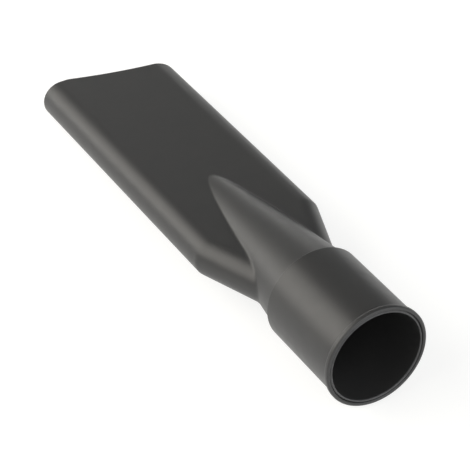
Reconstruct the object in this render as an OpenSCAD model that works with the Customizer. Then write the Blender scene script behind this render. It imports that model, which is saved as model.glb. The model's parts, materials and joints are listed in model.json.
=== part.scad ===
// Crevice nozzle of a vacuum cleaner: one hollow moulding, open at both ends.
// Frame: the origin is the centre of the socket's mouth. +X runs out of the mouth along the bore,
// the blade reaches towards -X, and +Z is square to the blade's flats.

/* [Socket] */
// Inner diameter of the socket that takes the wand
bore_d = 35; // [30:0.5:42]
// Depth from the mouth to the ledge that stops the wand
bore_depth = 38; // [25:0.5:60]
// Thickness of that ledge along the bore, which ends the socket in its shoulder
ledge_t = 2.5; // [1.6:0.1:6]
// Wall of the socket at its mouth
socket_wall = 1.7; // [1:0.05:3]
// Draft of the socket's outside in degrees, narrower towards the shoulder
socket_draft = 0.1; // [0:0.05:0.6]
// Size of the lead-in inside the mouth
lead_in = 0.5; // [0.2:0.05:0.8]

/* [Rim bead] */
// How far the rounded bead stands out from the socket
bead_h = 0.7; // [0.4:0.05:2.5]
// Length of the bead along the socket
bead_len = 2.2; // [1.2:0.1:6]

/* [Shoulder and cone] */
// Height of the step from the cone up to the socket
step_h = 1.35; // [0.5:0.05:1.5]
// Radius on the outer edge of that step
step_r = 0.25; // [0.2:0.05:0.6]
// Radius in the root of that step
root_r = 0.4; // [0.2:0.05:0.6]
// Length of the cone, from the shoulder to where it sinks into the blade's flats
cone_len = 71.8; // [50:0.1:100]

/* [Blade] */
// Width of the blade
blade_w = 51.5; // [44:0.5:70]
// Thickness of the blade, whose long edges are fully round
blade_t = 16.3; // [12:0.1:20]
// Length of the blade on its centre line, from the shoulder to the suction slot
blade_len = 155.3; // [125:0.1:240]
// Wall of the blade and the cone
wall = 1.8; // [1.2:0.1:3]
// Slant of the open end in degrees, longer on the -Y side
tip_angle = 21; // [14:0.5:30]
// How far the middle of the open end is hollowed back
tip_bow = 2; // [0.5:0.1:3]
// Distance from the centre line to where the long corner of that end is cropped
crop_at = 14.4; // [12:0.1:22]
// Slant of the cropped corner in degrees
crop_angle = 6.5; // [0:0.5:12]
// Distance from the shoulder to the corners where the blade starts to narrow
corner_at = 40.1; // [30:0.1:60]
// Angle at which each side narrows from those corners, in degrees
corner_angle = 18.5; // [8:0.5:24]

/* [Hidden] */
$fn = 128;

bore_r = bore_d / 2;
edge_r = blade_t / 2;
edge_y = blade_w / 2 - edge_r;
shoulder_x = -(bore_depth + ledge_t);
corner_x = shoulder_x - corner_at;
slot_x = shoulder_x - blade_len;
over = 2;                                   // how far a cut runs past what it cuts
arc_step = 15;                              // degrees between the points of a rounded edge

// Radii of the socket's outside, and the roundings that its step and its bead leave room for
mouth_r = bore_r + socket_wall;
bead_top = mouth_r + bead_h;
bead_r = min(bead_h, 0.45 * bead_len);
shoulder_r = mouth_r + (shoulder_x + bead_len) * tan(socket_draft);
cone_r = shoulder_r - step_h;
brow = min(step_r, 0.48 * step_h);
root = min(root_r, 0.48 * step_h);

// The cone's slope, and the x at which its nose ends inside the blade
cone_slope = (cone_r - edge_r) / (cone_len - root);
nose_x = shoulder_x - cone_len - wall / cone_slope;

// How far the slanted end may reach past its middle, and the circle that hollows it
tip_reach = blade_w / 2 * tan(tip_angle) + 2 * tip_bow + over;
chord = blade_w / cos(tip_angle);
bow_r = (chord * chord / 4 + tip_bow * tip_bow) / (2 * tip_bow);
bow_x = slot_x - bow_r * cos(tip_angle);
bow_y = bow_r * sin(tip_angle);
crop_x = bow_x + sqrt(bow_r * bow_r - (crop_at + bow_y) * (crop_at + bow_y));

function arc(cx, cy, r, a0, a1) =
    let (n = ceil(abs(a1 - a0) / arc_step))
    [for (i = [0 : n]) let (a = a0 + (a1 - a0) * i / n) [cx + r * cos(a), cy + r * sin(a)]];

// Turns a profile of [radius, x] points about the bore's axis
module turned(points) {
    rotate([0, 90, 0]) rotate_extrude() polygon(points);
}

// Cone, shoulder, socket and bead. The cone's nose runs on inside the blade, down to its inner wall.
module outer_turning() {
    turned(concat(
        [[0, nose_x], [edge_r - wall, nose_x]],
        arc(cone_r + root, shoulder_x - root, root, 180, 90),
        arc(shoulder_r - brow, shoulder_x + brow, brow, -90, 0),
        bead_h > bead_r ? [[mouth_r, -bead_len]] : [],
        arc(bead_top - bead_r, bead_r - bead_len, bead_r, -90, 0),
        arc(bead_top - bead_r, -bead_r, bead_r, 0, 90),
        [[0, 0]]));
}

// Bore with its lead-in, the ledge, and the cone's inside down to the slot's own inside
module inner_turning() {
    turned([
        [0, nose_x],
        [edge_r - 2 * wall, nose_x],
        [cone_r - wall, shoulder_x - root],
        [cone_r - wall, -bore_depth],
        [bore_r, -bore_depth],
        [bore_r, -lead_in],
        [bore_r + lead_in, 0],
        [bore_r + lead_in, over],
        [0, over]]);
}

// Slab with round edges about y_low and y_high, run along -X from the origin
module round_edged(reach, y_low, y_high, t) {
    rotate([0, -90, 0]) rotate([0, 0, 90]) linear_extrude(reach) {
        translate([y_low, -t / 2]) square([y_high - y_low, t]);
        for (y = [y_low, y_high])
            translate([y, 0]) circle(t / 2);
    }
}

// Blade with its skin set in: inset 0 gives the outside, inset wall the inside
module blade_form(inset) {
    t = blade_t - 2 * inset;
    full = blade_len + tip_reach;
    intersection() {
        translate([shoulder_x, 0, 0]) round_edged(full, -edge_y, edge_y, t);
        intersection_for (side = [1, -1])
            translate([corner_x, side * edge_y, 0])
                mirror([0, side < 0 ? 1 : 0, 0])
                    rotate([0, 0, -corner_angle])
                        translate([full, 0, 0]) round_edged(2 * full, -2 * full, 0, t);
    }
}

// What is cut away beyond the slanted, hollow end and beyond its cropped long corner
module beyond_tip() {
    translate([bow_x, bow_y, -blade_t]) cylinder(r = bow_r, h = 2 * blade_t, $fn = 720);
    translate([crop_x, -crop_at, 0]) rotate([0, 0, -crop_angle])
        translate([-2 * tip_reach, -blade_w, -blade_t]) cube([2 * tip_reach, 2 * blade_w, 2 * blade_t]);
}

module nozzle() color("#272726") {
    difference() {
        union() {
            blade_form(0);
            outer_turning();
        }
        blade_form(wall);
        inner_turning();
        beyond_tip();
    }
}

nozzle();
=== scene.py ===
import json
import math
import bpy
import bmesh
from mathutils import Matrix, Vector


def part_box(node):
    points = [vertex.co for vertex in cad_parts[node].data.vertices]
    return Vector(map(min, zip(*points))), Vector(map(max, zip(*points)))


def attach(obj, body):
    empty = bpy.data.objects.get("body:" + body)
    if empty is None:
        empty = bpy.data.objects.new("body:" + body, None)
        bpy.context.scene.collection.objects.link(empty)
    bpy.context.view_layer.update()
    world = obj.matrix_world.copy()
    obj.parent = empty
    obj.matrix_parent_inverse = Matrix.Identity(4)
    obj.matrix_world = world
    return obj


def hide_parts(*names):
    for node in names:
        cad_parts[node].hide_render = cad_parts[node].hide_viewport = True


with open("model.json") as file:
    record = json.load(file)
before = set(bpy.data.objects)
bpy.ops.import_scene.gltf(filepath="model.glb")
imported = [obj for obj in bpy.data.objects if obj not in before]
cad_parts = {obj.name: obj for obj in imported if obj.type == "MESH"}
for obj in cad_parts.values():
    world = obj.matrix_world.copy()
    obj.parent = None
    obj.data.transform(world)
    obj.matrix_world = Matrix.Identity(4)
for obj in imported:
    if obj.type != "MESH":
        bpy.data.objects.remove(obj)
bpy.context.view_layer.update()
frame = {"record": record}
mm = 0.001


# What the nozzle is sized by. The blade's width and the bore come from the frame itself.
boreMount = next(m for m in frame["record"]["mounts"] if m["name"] == "socket_bore")
lowCorner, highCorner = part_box("nozzle")
nozzle = {
    "bladeWidth": highCorner[1] - lowCorner[1],
    "bladeThickness": 16.3 * mm,
    "wall": 1.8 * mm,
    "boreRadius": boreMount["dims"]["r_mm"] * mm,
    "boreDepth": 38.0 * mm,
    "ledge": 2.5 * mm,
    "socketWall": 1.7 * mm,
    "socketDraft": math.radians(0.1),
    "beadHeight": 0.7 * mm,
    "beadLength": 2.2 * mm,
    "shoulderStep": 1.35 * mm,
    "shoulderEdge": 0.25 * mm,
    "coneLength": 71.8 * mm,
    "bladeLength": 155.3 * mm,
    "cornerFromShoulder": 40.1 * mm,
    "cornerAngle": math.radians(18.5),
    "cornerSoftness": 1.2 * mm,
    "tipAngle": math.radians(21.0),
    "tipHollow": 2.0 * mm,
    "cropPlace": 14.4 * mm,     # from the centre line to where the long corner is cropped
    "cropAngle": math.radians(6.5),
    "cropSoftness": 0.5 * mm,
    "creaseRadius": 0.6 * mm,   # of the rounding where the cone rises out of the blade
    "edgeRadius": 0.4 * mm,     # in the shoulder's root, on the ledge and on the lip of the slot
    "lipRadius": 0.7 * mm,      # of the rounded lip just inside the bead
    "lipStartDeg": -25,         # where on that radius the lip leaves its groove
    "lipGroove": 0.55 * mm,     # between that lip and the bead
    "segments": 288,            # round the bore
    "raySpread": 2.2,           # how much wider those segments lie on the flats than on the round edges
    "creaseEnd": 12.0 * mm,     # how far past the cone's tip the fine rings go on
    "leanFrom": 15.0 * mm,      # how far past it the rings start to lean over to the slanted end
    "coneStep": 0.9 * mm,       # between rings where the cone meets the blade
    "plainStep": 6.0 * mm,      # between rings elsewhere
}
shoulderX = -(nozzle["boreDepth"] + nozzle["ledge"])
slotX = shoulderX - nozzle["bladeLength"]
edgeRadius = nozzle["bladeThickness"] / 2
mouthRadius = nozzle["boreRadius"] + nozzle["socketWall"]
shoulderRadius = mouthRadius + (shoulderX + nozzle["beadLength"]) * math.tan(nozzle["socketDraft"])
coneRadius = shoulderRadius - nozzle["shoulderStep"]
coneSlope = (coneRadius - edgeRadius) / (nozzle["coneLength"] - nozzle["edgeRadius"])
coneTipX = shoulderX - nozzle["coneLength"]

# The circle that hollows the slanted end, and where its long corner is cropped
halfChord = nozzle["bladeWidth"] / 2 / math.cos(nozzle["tipAngle"])
hollowRadius = (halfChord ** 2 + nozzle["tipHollow"] ** 2) / (2 * nozzle["tipHollow"])
hollowX = slotX - hollowRadius * math.cos(nozzle["tipAngle"])
hollowY = hollowRadius * math.sin(nozzle["tipAngle"])
cropX = hollowX + math.sqrt(hollowRadius ** 2 - (nozzle["cropPlace"] + hollowY) ** 2)


# A node socket that adds, multiplies and so on, so that the shape's rule reads as a formula
class Field:
    def __init__(self, tree, socket):
        self.tree = tree
        self.socket = socket

    def math(self, operation, *others):
        node = self.tree.nodes.new("ShaderNodeMath")
        node.operation = operation
        for slot, value in zip(node.inputs, (self,) + others):
            if isinstance(value, Field):
                self.tree.links.new(value.socket, slot)
            else:
                slot.default_value = value
        return Field(self.tree, node.outputs[0])

    def __add__(self, other):
        return self.math("ADD", other)

    def __sub__(self, other):
        return self.math("SUBTRACT", other)

    def __mul__(self, other):
        return self.math("MULTIPLY", other)

    def __truediv__(self, other):
        return self.math("DIVIDE", other)

    def __neg__(self):
        return self.math("MULTIPLY", -1.0)

    def squared(self):
        return self.math("MULTIPLY", self)

    def root(self):
        return self.math("MAXIMUM", 0.0).math("SQRT")

    def atLeast(self, other):
        return self.math("MAXIMUM", other)

    def atMost(self, other):
        return self.math("MINIMUM", other)


def addInput(tree, name, kind, value=None):
    socket = tree.interface.new_socket(name=name, in_out="INPUT", socket_type=kind)
    if value is not None:
        socket.default_value = value
    return socket.identifier


# Bends a profile round the bore's axis. Each ring is the larger of two outlines about that axis:
# the cone's circle, and the blade's flat section with its round edges.
def buildNozzleTree(sizes):
    tree = bpy.data.node_groups.new("turnedAndFlattened", "GeometryNodeTree")
    tree.is_modifier = True
    addInput(tree, "Profile", "NodeSocketGeometry")
    for name, value in sizes.items():
        addInput(tree, name, "NodeSocketFloat", value)
    addInput(tree, "Segments", "NodeSocketInt", nozzle["segments"])
    addInput(tree, "Finish", "NodeSocketMaterial")
    tree.interface.new_socket(name="Nozzle", in_out="OUTPUT", socket_type="NodeSocketGeometry")
    nodes, links = tree.nodes, tree.links
    given = nodes.new("NodeGroupInput")

    def size(name):
        return Field(tree, given.outputs[name])

    def capture(geometry, socket, name):
        node = nodes.new("GeometryNodeCaptureAttribute")
        node.capture_items.new("FLOAT", name)
        links.new(geometry, node.inputs["Geometry"])
        links.new(socket, node.inputs[name])
        return node.outputs["Geometry"], Field(tree, node.outputs[name])

    # The profile holds its place along the axis, its cone radius and its depth under the skin
    toCurve = nodes.new("GeometryNodeMeshToCurve")
    links.new(given.outputs["Profile"], toCurve.inputs["Mesh"])
    place = nodes.new("GeometryNodeInputPosition")
    split = nodes.new("ShaderNodeSeparateXYZ")
    links.new(place.outputs[0], split.inputs[0])
    profile, along = capture(toCurve.outputs[0], split.outputs["X"], "Along")
    profile, turnedRadius = capture(profile, split.outputs["Z"], "Turned Radius")
    read = []
    # Also read is the lip mask, by which the lip's colour is painted lighter: a painted highlight,
    # together with wear from wands
    for name in ("depth", "rubbed"):
        drawn = nodes.new("GeometryNodeInputNamedAttribute")
        drawn.data_type = "FLOAT"
        drawn.inputs["Name"].default_value = name
        profile, value = capture(profile, drawn.outputs["Attribute"], name.capitalize())
        read.append(value)
    inset, rubbed = read

    circle = nodes.new("GeometryNodeCurvePrimitiveCircle")
    links.new(given.outputs["Segments"], circle.inputs["Resolution"])
    parameter = nodes.new("GeometryNodeSplineParameter")
    ring, share = capture(circle.outputs["Curve"], parameter.outputs["Factor"], "Share")
    sweep = nodes.new("GeometryNodeCurveToMesh")
    links.new(ring, sweep.inputs["Curve"])
    links.new(profile, sweep.inputs["Profile Curve"])

    # Rays are spread wider over the flats than over the round edges
    turn = share * (2 * math.pi)
    flatness = ((size("Shoulder Place") - along) / size("Cone Length")).atLeast(0.0).atMost(1.0)
    spread = flatness.squared() * (-(flatness * 2.0) + 3.0) * (size("Ray Spread") - 1.0) + 1.0
    rayY = spread * turn.math("COSINE")
    rayZ = turn.math("SINE")
    rayLength = (rayY.squared() + rayZ.squared()).root()
    rayY = rayY / rayLength
    rayZ = rayZ / rayLength
    sideways = rayY.math("ABSOLUTE")
    upwards = rayZ.math("ABSOLUTE").atLeast(1e-4)

    # Where the blade's round edge is centred, and how fast that line closes in past the corner
    softness = size("Corner Softness")
    past = along - size("Corner Place")
    bend = ((past + softness) / (softness * 2.0)).atLeast(0.0).atMost(1.0)
    closing = size("Corner Angle").math("TANGENT")
    edgeLine = size("Blade Width") * 0.5 - size("Blade Thickness") * 0.5
    edgeLine = edgeLine - closing * (softness * bend.squared() + (past - softness).atLeast(0.0))
    edgeLine = edgeLine.atLeast(0.0)
    lean = -(closing * bend)
    tall = size("Blade Thickness") * 0.5 - inset
    wide = tall * (lean.squared() + 1.0).root()

    # Where a ray leaves the blade: through a flat, or through a round edge
    throughFlat = tall / upwards
    a = (sideways / wide).squared() + (upwards / tall).squared()
    b = sideways * edgeLine / wide.squared()
    c = (edgeLine / wide).squared() - 1.0
    throughEdge = (b + (b.squared() - a * c).root()) / a
    onFlat = (edgeLine * upwards).math("GREATER_THAN", tall * sideways)
    bladeRadius = throughEdge + (throughFlat - throughEdge) * onFlat

    # The angle between the two skins there sets how wide the rounding in their crease is
    normalY = (bladeRadius * sideways - edgeLine).atLeast(0.0) / wide.squared()
    normalZ = bladeRadius * upwards / tall.squared()
    normalX = -(lean * normalY)
    normalLength = (normalX.squared() + normalY.squared() + normalZ.squared()).root()
    facing = (normalY * sideways + normalZ * upwards) / normalLength
    slope = size("Cone Slope")
    matching = (facing - normalX * slope / normalLength) / (slope.squared() + 1.0).root()
    angle = matching.atMost(0.99999).math("ARCCOSINE").atMost(1.1)
    reach = size("Crease Radius") * (angle * 0.5).math("TANGENT") * angle.math("TANGENT")
    reach = (reach / facing.atLeast(0.2)).atLeast(1e-6)
    near = (reach - (bladeRadius - turnedRadius).math("ABSOLUTE")).atLeast(0.0) / reach
    radius = bladeRadius.atLeast(turnedRadius) + near.squared() * reach * 0.25

    # The rings lean over towards the open end until the last one lies in the slanted, hollow cut
    y = radius * rayY
    z = radius * rayZ
    rise = (size("Hollow Radius").squared() - (y - size("Hollow Y")).squared()).root()
    hollowed = size("Hollow X") + rise
    cropped = size("Crop X") + size("Crop Angle").math("TANGENT") * (y + size("Crop Place"))
    apart = (-(hollowed - cropped).math("ABSOLUTE") / size("Crop Softness") + 1.0).atLeast(0.0)
    end = hollowed.atLeast(cropped) + apart.squared() * size("Crop Softness") * 0.25
    leaning = ((size("Lean From") - along) / (size("Lean From") - size("Slot Place"))).atLeast(0.0)
    x = along + leaning * (end - size("Slot Place"))

    gather = nodes.new("ShaderNodeCombineXYZ")
    for value, slot in zip((x, y, z), gather.inputs):
        links.new(value.socket, slot)
    move = nodes.new("GeometryNodeSetPosition")
    links.new(sweep.outputs["Mesh"], move.inputs["Geometry"])
    links.new(gather.outputs[0], move.inputs["Position"])
    # The lip mask goes onto the mesh, so that the finish paints the lip lighter there: a painted
    # highlight, together with wear
    store = nodes.new("GeometryNodeStoreNamedAttribute")
    store.data_type = "FLOAT"
    store.inputs["Name"].default_value = "rubbed"
    links.new(move.outputs[0], store.inputs["Geometry"])
    links.new(rubbed.socket, store.inputs["Value"])
    realize = nodes.new("GeometryNodeRealizeInstances")
    links.new(store.outputs[0], realize.inputs[0])
    dress = nodes.new("GeometryNodeSetMaterial")
    links.new(realize.outputs[0], dress.inputs["Geometry"])
    links.new(given.outputs["Finish"], dress.inputs["Material"])
    result = nodes.new("NodeGroupOutput")
    links.new(dress.outputs[0], result.inputs[0])
    return tree


def steps(start, end, step):
    count = max(1, math.ceil(abs(end - start) / step))
    return [start + (end - start) * i / count for i in range(1, count + 1)]


def arcPoints(centre, radius, fromDeg, toDeg, count=6):
    turns = [math.radians(fromDeg + (toDeg - fromDeg) * i / count) for i in range(count + 1)]
    return [(centre[0] + radius * math.cos(t), centre[1] + radius * math.sin(t)) for t in turns]


# The closed profile as (place along the axis, turned radius, depth under the blade's skin)
def nozzleProfile():
    edge = nozzle["edgeRadius"]
    wall = nozzle["wall"]
    bore = nozzle["boreRadius"]
    beadTop = mouthRadius + nozzle["beadHeight"]
    beadEdge = min(nozzle["beadHeight"], 0.45 * nozzle["beadLength"])
    creaseEndX = coneTipX - nozzle["creaseEnd"]
    points = []

    def coneAt(x, inset):
        return max(coneRadius + coneSlope * (x - shoulderX + edge) - inset, 0.1 * mm)

    def skin(x, inset):
        points.append((x, coneAt(x, inset), inset))

    def turned(path, inset=0.0):
        for x, r in path:
            points.append((x, r, inset))

    # Outside, from the lip of the slot to the mouth
    for x, inset in arcPoints((slotX + edge, edge), edge, 180, 270):
        skin(x, inset)
    skin(slotX + 1.4 * edge, 0.0)
    for x in steps(slotX + 1.4 * edge, creaseEndX, nozzle["plainStep"]):
        skin(x, 0.0)
    for x in steps(creaseEndX, shoulderX - 1.5 * edge, nozzle["coneStep"]):
        skin(x, 0.0)
    turned(arcPoints((shoulderX - edge, coneRadius + edge), edge, -90, 0))
    brow = nozzle["shoulderEdge"]
    turned(arcPoints((shoulderX + brow, shoulderRadius - brow), brow, 180, 90))
    socketEnd = -nozzle["beadLength"]

    def socketPoint(x):
        return (x, shoulderRadius + math.tan(nozzle["socketDraft"]) * (x - shoulderX))

    turned([socketPoint(shoulderX + 1.6 * brow)])
    for x in steps(shoulderX + 1.6 * brow, socketEnd - 0.5 * edge, nozzle["plainStep"]):
        turned([socketPoint(x)])
    turned(arcPoints((socketEnd + beadEdge, beadTop - beadEdge), beadEdge, 180, 90))
    turned(arcPoints((-beadEdge, beadTop - beadEdge), beadEdge, 90, 0))

    # The bead's inner rounding, the groove beside it, and the lip round the mouth
    lip = nozzle["lipRadius"]
    groove = nozzle["lipGroove"]
    lipStart = nozzle["lipStartDeg"]
    lipTop = bore + lip * (1 + math.sin(math.radians(lipStart)))
    inner = beadTop - beadEdge - lipTop - groove
    turned(arcPoints((-inner, beadTop - beadEdge), inner, -10, -90, 8))
    turned([(-inner - 0.7 * groove, lipTop + 0.5 * groove)])
    turned(arcPoints((-lip, bore + lip), lip, lipStart, -90, 8))

    # Inside, from the mouth back to the slot
    ledgeX = -nozzle["boreDepth"]
    turned((x, bore) for x in steps(-lip, ledgeX + edge / 2, nozzle["plainStep"]))
    turned([(ledgeX, bore - edge / 8)])
    innerCone = coneRadius - wall
    for x, r in arcPoints((ledgeX - edge, innerCone + edge), edge, 0, -90):
        points.append((x, r, wall))
    for x in steps(ledgeX - edge, creaseEndX, 2 * nozzle["coneStep"]):
        skin(x, wall)
    for x in steps(creaseEndX, slotX + 1.4 * edge, nozzle["plainStep"]):
        skin(x, wall)
    for x, inset in arcPoints((slotX + edge, wall - edge), edge, 90, 180):
        skin(x, inset)
    return points


def buildNozzle(finish):
    points = nozzleProfile()
    outline = bpy.data.meshes.new("nozzleProfile")
    edges = [(i, (i + 1) % len(points)) for i in range(len(points))]
    outline.from_pydata([(x, 0.0, r) for x, r, inset in points], edges, [])
    depth = outline.attributes.new("depth", "FLOAT", "POINT")
    depth.data.foreach_set("value", [inset for x, r, inset in points])
    # Marks the lip round the mouth, whose colour is painted lighter: a painted highlight along its edge,
    # together with wear from wands
    rubbed = outline.attributes.new("rubbed", "FLOAT", "POINT")
    lipEnd = nozzle["boreRadius"] + 0.8 * nozzle["lipRadius"]
    onLip = [float(x > -nozzle["lipRadius"] and r < lipEnd) for x, r, inset in points]
    rubbed.data.foreach_set("value", onLip)
    drawn = bpy.data.objects.new("nozzleProfile", outline)
    bpy.context.scene.collection.objects.link(drawn)
    tree = buildNozzleTree({
        "Blade Width": nozzle["bladeWidth"],
        "Blade Thickness": nozzle["bladeThickness"],
        "Shoulder Place": shoulderX,
        "Cone Length": nozzle["coneLength"],
        "Cone Slope": coneSlope,
        "Crease Radius": nozzle["creaseRadius"],
        "Corner Place": shoulderX - nozzle["cornerFromShoulder"],
        "Corner Angle": nozzle["cornerAngle"],
        "Corner Softness": nozzle["cornerSoftness"],
        "Slot Place": slotX,
        "Hollow Radius": hollowRadius,
        "Hollow X": hollowX,
        "Hollow Y": hollowY,
        "Crop X": cropX,
        "Crop Place": nozzle["cropPlace"],
        "Crop Angle": nozzle["cropAngle"],
        "Crop Softness": nozzle["cropSoftness"],
        "Lean From": coneTipX - nozzle["leanFrom"],
        "Ray Spread": nozzle["raySpread"],
    })
    bender = drawn.modifiers.new("turnAndFlatten", "NODES")
    bender.node_group = tree
    finishInput = next(s.identifier for s in tree.interface.items_tree if s.name == "Finish")
    bender[finishInput] = finish
    evaluated = drawn.evaluated_get(bpy.context.evaluated_depsgraph_get())
    mesh = bpy.data.meshes.new_from_object(evaluated)
    bpy.data.objects.remove(drawn)
    mesh.name = "nozzleSkin"
    shell = bmesh.new()
    shell.from_mesh(mesh)
    bmesh.ops.remove_doubles(shell, verts=shell.verts, dist=1e-7)
    bmesh.ops.recalc_face_normals(shell, faces=shell.faces)
    shell.to_mesh(mesh)
    shell.free()
    mesh.polygons.foreach_set("use_smooth", [True] * len(mesh.polygons))
    piece = bpy.data.objects.new("nozzleSkin", mesh)
    bpy.context.scene.collection.objects.link(piece)
    print("nozzle skin:", len(points), "rings,", len(mesh.polygons), "faces")
    return piece


plastic = {
    "colour": (0.0265, 0.0267, 0.027, 1.0),
    "colourWorn": (0.0315, 0.031, 0.0303, 1.0),
    "colourLipWearAndPaintedHighlight": (0.11, 0.11, 0.112, 1.0),   # the lip, lighter in colour: a painted highlight for its light edge line, together with wear where wands go in and out
    "roughness": 0.4,
    "roughnessSpread": 0.025,
    "toneSize": 9.0 * mm,
    "lipWearAndPaintedHighlightPatchSize": 3.0 * mm,
    "glossSize": 4.0 * mm,
    "grainSize": 0.35 * mm,
    "grainHeight": 0.014 * mm,
    "waveSize": 28.0 * mm,
    "waveHeight": 0.05 * mm,
}


def blackPlastic():
    material = bpy.data.materials.new("blackPlastic")
    material.use_nodes = True
    nodes, links = material.node_tree.nodes, material.node_tree.links
    shader = nodes["Principled BSDF"]
    place = nodes.new("ShaderNodeTexCoord")

    def noise(size, detail):
        node = nodes.new("ShaderNodeTexNoise")
        node.inputs["Scale"].default_value = 1.0 / plastic[size]
        node.inputs["Detail"].default_value = detail
        links.new(place.outputs["Object"], node.inputs["Vector"])
        return node.outputs["Fac"]

    tone = nodes.new("ShaderNodeMix")
    tone.data_type = "RGBA"
    tone.inputs["A"].default_value = plastic["colour"]
    tone.inputs["B"].default_value = plastic["colourWorn"]
    links.new(noise("toneSize", 3.0), tone.inputs["Factor"])
    # On the lip the colour goes lighter in patches: a painted highlight along the lip's edge, together
    # with wear from wands going in and out
    lip = nodes.new("ShaderNodeAttribute")
    lip.attribute_name = "rubbed"
    patchy = nodes.new("ShaderNodeMath")
    patchy.operation = "MULTIPLY"
    links.new(lip.outputs["Fac"], patchy.inputs[0])
    links.new(noise("lipWearAndPaintedHighlightPatchSize", 2.0), patchy.inputs[1])
    lipWearAndPaintedHighlightMix = nodes.new("ShaderNodeMix")
    lipWearAndPaintedHighlightMix.data_type = "RGBA"
    links.new(patchy.outputs[0], lipWearAndPaintedHighlightMix.inputs["Factor"])
    links.new(tone.outputs["Result"], lipWearAndPaintedHighlightMix.inputs["A"])
    lipWearAndPaintedHighlightMix.inputs["B"].default_value = plastic["colourLipWearAndPaintedHighlight"]
    links.new(lipWearAndPaintedHighlightMix.outputs["Result"], shader.inputs["Base Color"])

    rough = nodes.new("ShaderNodeMapRange")
    rough.inputs["From Min"].default_value = 0.3
    rough.inputs["From Max"].default_value = 0.7
    rough.inputs["To Min"].default_value = plastic["roughness"] - plastic["roughnessSpread"]
    rough.inputs["To Max"].default_value = plastic["roughness"] + plastic["roughnessSpread"]
    links.new(noise("glossSize", 4.0), rough.inputs["Value"])
    links.new(rough.outputs["Result"], shader.inputs["Roughness"])

    wave = nodes.new("ShaderNodeBump")
    wave.inputs["Distance"].default_value = plastic["waveHeight"]
    links.new(noise("waveSize", 1.0), wave.inputs["Height"])
    grain = nodes.new("ShaderNodeBump")
    grain.inputs["Distance"].default_value = plastic["grainHeight"]
    links.new(noise("grainSize", 2.0), grain.inputs["Height"])
    links.new(wave.outputs["Normal"], grain.inputs["Normal"])
    links.new(grain.outputs["Normal"], shader.inputs["Normal"])
    return material


floorLook = {
    "size": 6.0,
    "colour": (0.86, 0.86, 0.85, 1.0),
    "seenColour": (0.35, 0.35, 0.335, 1.0),   # the part of its look that takes shadows
    "seenGlow": 0.75,
    "fadeStart": 0.3,   # metres from the part, where the floor starts to go over into the backdrop
    "fadeEnd": 1.2,
}


# The part lies on the foot of its shoulder and on both ends of its slot's lower lip
def restingPlane():
    flatHalf = nozzle["bladeWidth"] / 2 - edgeRadius
    longEndX = cropX + math.tan(nozzle["cropAngle"]) * (nozzle["cropPlace"] - flatHalf)
    longEnd = Vector((longEndX, -flatHalf, -edgeRadius))
    shortEndX = hollowX + math.sqrt(hollowRadius ** 2 - (flatHalf - hollowY) ** 2)
    shortEnd = Vector((shortEndX, flatHalf, -edgeRadius))
    lip = shortEnd - longEnd
    footX = shoulderX + nozzle["shoulderEdge"]
    tilt = (shoulderRadius - edgeRadius) / (footX - longEnd.x)
    for _ in range(4):  # the foot is a point of the shoulder's circle, a little to one side
        across = -tilt * lip.x / lip.y
        level = longEnd + (footX - longEnd.x) * Vector((1.0, 0.0, 0.0))
        drop = shoulderRadius * math.hypot(1.0, across) + across * longEnd.y - edgeRadius
        tilt = drop / (level.x - longEnd.x)
    return longEnd, Vector((tilt, across, 1.0)).normalized()


def buildFloor():
    point, normal = restingPlane()
    material = bpy.data.materials.new("paleFloor")
    material.use_nodes = True
    nodes, links = material.node_tree.nodes, material.node_tree.links
    nodes.remove(nodes["Principled BSDF"])
    plain = nodes.new("ShaderNodeBsdfDiffuse")
    plain.inputs["Color"].default_value = floorLook["colour"]
    seen = nodes.new("ShaderNodeBsdfDiffuse")
    seen.inputs["Color"].default_value = floorLook["seenColour"]
    glow = nodes.new("ShaderNodeEmission")
    place = nodes.new("ShaderNodeTexCoord")
    apart = nodes.new("ShaderNodeVectorMath")
    apart.operation = "LENGTH"
    links.new(place.outputs["Object"], apart.inputs[0])
    fade = nodes.new("ShaderNodeMapRange")
    fade.interpolation_type = "SMOOTHSTEP"
    fade.inputs["From Min"].default_value = floorLook["fadeStart"]
    fade.inputs["From Max"].default_value = floorLook["fadeEnd"]
    fade.inputs["To Min"].default_value = floorLook["seenGlow"]
    fade.inputs["To Max"].default_value = 1.0
    links.new(apart.outputs["Value"], fade.inputs["Value"])
    links.new(fade.outputs["Result"], glow.inputs["Strength"])
    both = nodes.new("ShaderNodeAddShader")
    links.new(seen.outputs[0], both.inputs[0])
    links.new(glow.outputs[0], both.inputs[1])
    path = nodes.new("ShaderNodeLightPath")
    direct = nodes.new("ShaderNodeMath")
    direct.operation = "MAXIMUM"
    links.new(path.outputs["Is Camera Ray"], direct.inputs[0])
    links.new(path.outputs["Is Glossy Ray"], direct.inputs[1])
    pick = nodes.new("ShaderNodeMixShader")
    links.new(direct.outputs[0], pick.inputs["Fac"])
    links.new(plain.outputs[0], pick.inputs[1])
    links.new(both.outputs[0], pick.inputs[2])
    links.new(pick.outputs[0], nodes["Material Output"].inputs["Surface"])

    turn = Vector((0, 0, 1)).rotation_difference(normal).to_matrix().to_4x4()
    half = floorLook["size"] / 2
    corners = [(-half, -half, 0), (half, -half, 0), (half, half, 0), (-half, half, 0)]
    mesh = bpy.data.meshes.new("floor")
    mesh.from_pydata([Matrix.Translation(point) @ turn @ Vector(c) for c in corners], [], [(0, 1, 2, 3)])
    mesh.materials.append(material)
    floor = bpy.data.objects.new("floor", mesh)
    bpy.context.scene.collection.objects.link(floor)
    print("floor tilted by", round(math.degrees(normal.angle(Vector((0, 0, 1)))), 2), "degrees")


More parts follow.
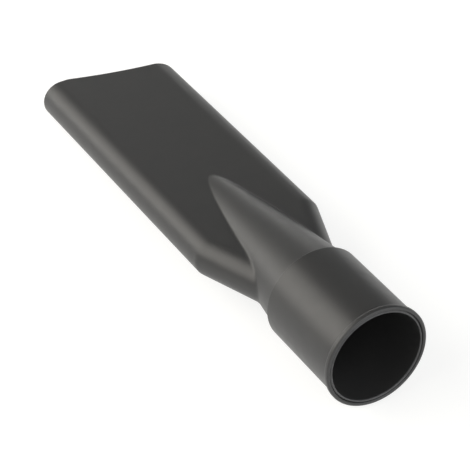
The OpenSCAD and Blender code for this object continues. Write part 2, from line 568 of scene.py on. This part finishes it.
# Directions are from the nozzle: degrees round from +X towards +Y, and degrees up from the floor.
# Sizes are in metres and powers in watts.
studio = {
    "middle": (-0.1, 0.0, 0.0),
    "distance": 1.4,
    "softbox": {"turn": 238.6, "rise": 36.4, "size": (1.75, 1.12), "power": 21.6,
                "colour": (1.0, 0.965, 0.9)},
    "lowStrip": {"turn": 182.6, "rise": 5.2, "size": (2.34, 0.27), "power": 7.5,
                 "colour": (1.0, 0.99, 0.96)},
    "sky": {"turn": 12.0, "rise": 18.0, "dim": 0.18, "bright": 1.75, "start": 0.5, "end": 0.8,
            "colour": (0.97, 0.985, 1.0, 1.0)},
}


# The direction towards a lamp or a part of the sky
def fromFloor(turnDeg, riseDeg):
    up = restingPlane()[1]
    forward = (Vector((1, 0, 0)) - up.x * up).normalized()
    turn, rise = math.radians(turnDeg), math.radians(riseDeg)
    level = math.cos(turn) * forward + math.sin(turn) * up.cross(forward)
    return math.cos(rise) * level + math.sin(rise) * up


def addLamp(name):
    setting = studio[name]
    lamp = bpy.data.lights.new(name, "AREA")
    lamp.shape = "RECTANGLE"
    lamp.size, lamp.size_y = setting["size"]
    lamp.energy = setting["power"]
    lamp.color = setting["colour"]
    holder = bpy.data.objects.new(name, lamp)
    away = fromFloor(setting["turn"], setting["rise"])
    holder.location = Vector(studio["middle"]) + studio["distance"] * away
    holder.rotation_euler = (-away).to_track_quat("-Z", "Y").to_euler()
    holder.visible_camera = False
    bpy.context.scene.collection.objects.link(holder)


# The sky is brightest towards the front, and plain white where the camera sees it
def buildSky():
    setting = studio["sky"]
    world = bpy.data.worlds.new("studio")
    bpy.context.scene.world = world
    world.use_nodes = True
    nodes, links = world.node_tree.nodes, world.node_tree.links
    light = nodes["Background"]
    light.inputs["Color"].default_value = setting["colour"]
    place = nodes.new("ShaderNodeTexCoord")
    facing = nodes.new("ShaderNodeVectorMath")
    facing.operation = "DOT_PRODUCT"
    facing.inputs[1].default_value = fromFloor(setting["turn"], setting["rise"])
    links.new(place.outputs["Generated"], facing.inputs[0])
    level = nodes.new("ShaderNodeMapRange")
    level.interpolation_type = "SMOOTHSTEP"
    level.inputs["From Min"].default_value = setting["start"]
    level.inputs["From Max"].default_value = setting["end"]
    level.inputs["To Min"].default_value = setting["dim"]
    level.inputs["To Max"].default_value = setting["bright"]
    links.new(facing.outputs["Value"], level.inputs["Value"])
    links.new(level.outputs["Result"], light.inputs["Strength"])
    white = nodes.new("ShaderNodeBackground")
    white.inputs["Color"].default_value = (1.0, 1.0, 1.0, 1.0)
    path = nodes.new("ShaderNodeLightPath")
    pick = nodes.new("ShaderNodeMixShader")
    links.new(path.outputs["Is Camera Ray"], pick.inputs["Fac"])
    links.new(light.outputs[0], pick.inputs[1])
    links.new(white.outputs[0], pick.inputs[2])
    links.new(pick.outputs[0], nodes["World Output"].inputs["Surface"])


def buildLights():
    addLamp("softbox")
    addLamp("lowStrip")
    buildSky()
    print("studio lit")


view = {
    "place": (0.47498, -0.27302, 0.49782),
    "aim": (-0.07653, -0.01023, 0.00815),
    "rollDeg": 7.33,
    "lens": 168.484,
    "sensor": 36.0,
}


def buildCamera():
    camera = bpy.data.cameras.new("camera")
    camera.lens = view["lens"]
    camera.sensor_width = view["sensor"]
    camera.clip_start = 0.01
    holder = bpy.data.objects.new("camera", camera)
    holder.location = view["place"]
    look = (Vector(view["aim"]) - holder.location).to_track_quat("-Z", "Y").to_matrix().to_4x4()
    roll = Matrix.Rotation(-math.radians(view["rollDeg"]), 4, "Z")
    holder.rotation_euler = (look @ roll).to_euler()
    bpy.context.scene.collection.objects.link(holder)
    bpy.context.scene.camera = holder
    print("camera placed")


bpy.context.scene.view_settings.view_transform = "Standard"
buildCamera()
buildLights()
buildFloor()
skin = buildNozzle(blackPlastic())
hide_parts("nozzle")
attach(skin, "root")
